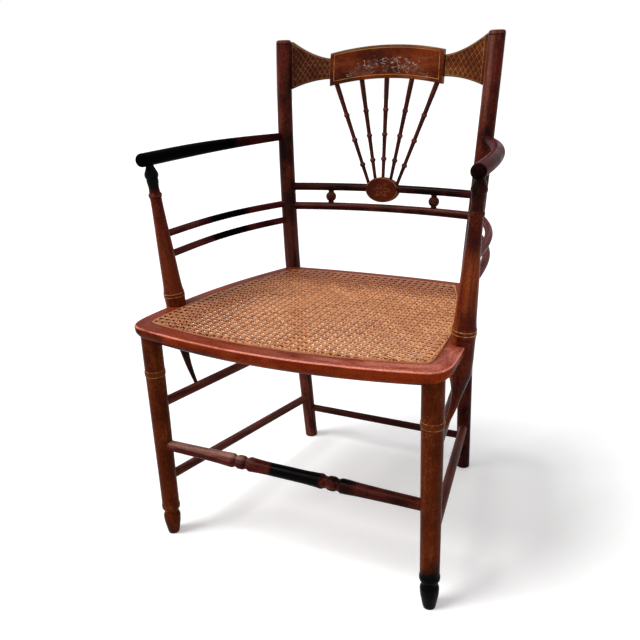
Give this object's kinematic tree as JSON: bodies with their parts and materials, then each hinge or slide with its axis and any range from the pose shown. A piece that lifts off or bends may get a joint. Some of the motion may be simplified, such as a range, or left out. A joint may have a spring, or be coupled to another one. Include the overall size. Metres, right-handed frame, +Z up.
{
  "type": "armchair",
  "caption": "Lacquered wooden armchair with a caned seat, slender bowed arms and rails, a fan of turned spindles in the back and a tablet crest.",
  "frame": {"origin": "on the floor, under the middle of the chair's bounding box", "axes": "+Z up, +X to the right as seen from the front, +Y towards the back; the chair faces -Y"},
  "size_m": [0.6186, 0.5626, 0.899],
  "materials": {
    "dark_lacquered_wood": "dark red-brown lacquer, gloss",
    "brown_lacquered_wood": "brown lacquer, gloss",
    "red_lacquered_wood": "red-brown lacquer, gloss",
    "cane": "bare rattan cane, satin"
  },
  "bodies": {
    "root": {"arm_left": "dark_lacquered_wood", "arm_post_left": "brown_lacquered_wood", "arm_post_right": "brown_lacquered_wood", "arm_rail_lower_left": "dark_lacquered_wood", "arm_rail_lower_right": "dark_lacquered_wood", "arm_rail_upper_left": "dark_lacquered_wood", "arm_rail_upper_right": "dark_lacquered_wood", "arm_right": "dark_lacquered_wood", "back_ball_left": "dark_lacquered_wood", "back_ball_right": "dark_lacquered_wood", "back_medallion": "dark_lacquered_wood", "back_rail_lower": "dark_lacquered_wood", "back_rail_upper_left": "dark_lacquered_wood", "back_rail_upper_right": "dark_lacquered_wood", "back_stretcher": "dark_lacquered_wood", "cane_binding_back": "cane", "cane_binding_front": "cane", "cane_panel": "cane", "crest_tablet": "dark_lacquered_wood", "crest_wing_left": "dark_lacquered_wood", "crest_wing_right": "dark_lacquered_wood", "fan_spindle_1": "dark_lacquered_wood", "fan_spindle_2": "dark_lacquered_wood", "fan_spindle_3": "dark_lacquered_wood", "fan_spindle_4": "dark_lacquered_wood", "fan_spindle_5": "dark_lacquered_wood", "front_leg_left": "brown_lacquered_wood", "front_leg_right": "brown_lacquered_wood", "front_stretcher": "dark_lacquered_wood", "rear_post_left": "dark_lacquered_wood", "rear_post_right": "dark_lacquered_wood", "seat_back_rail": "red_lacquered_wood", "seat_front_rail": "red_lacquered_wood", "seat_side_rail_left": "red_lacquered_wood", "seat_side_rail_right": "red_lacquered_wood", "side_stretcher_lower_left": "dark_lacquered_wood", "side_stretcher_lower_right": "dark_lacquered_wood", "side_stretcher_upper_left": "dark_lacquered_wood", "side_stretcher_upper_right": "dark_lacquered_wood"}
  },
  "joints": []
}
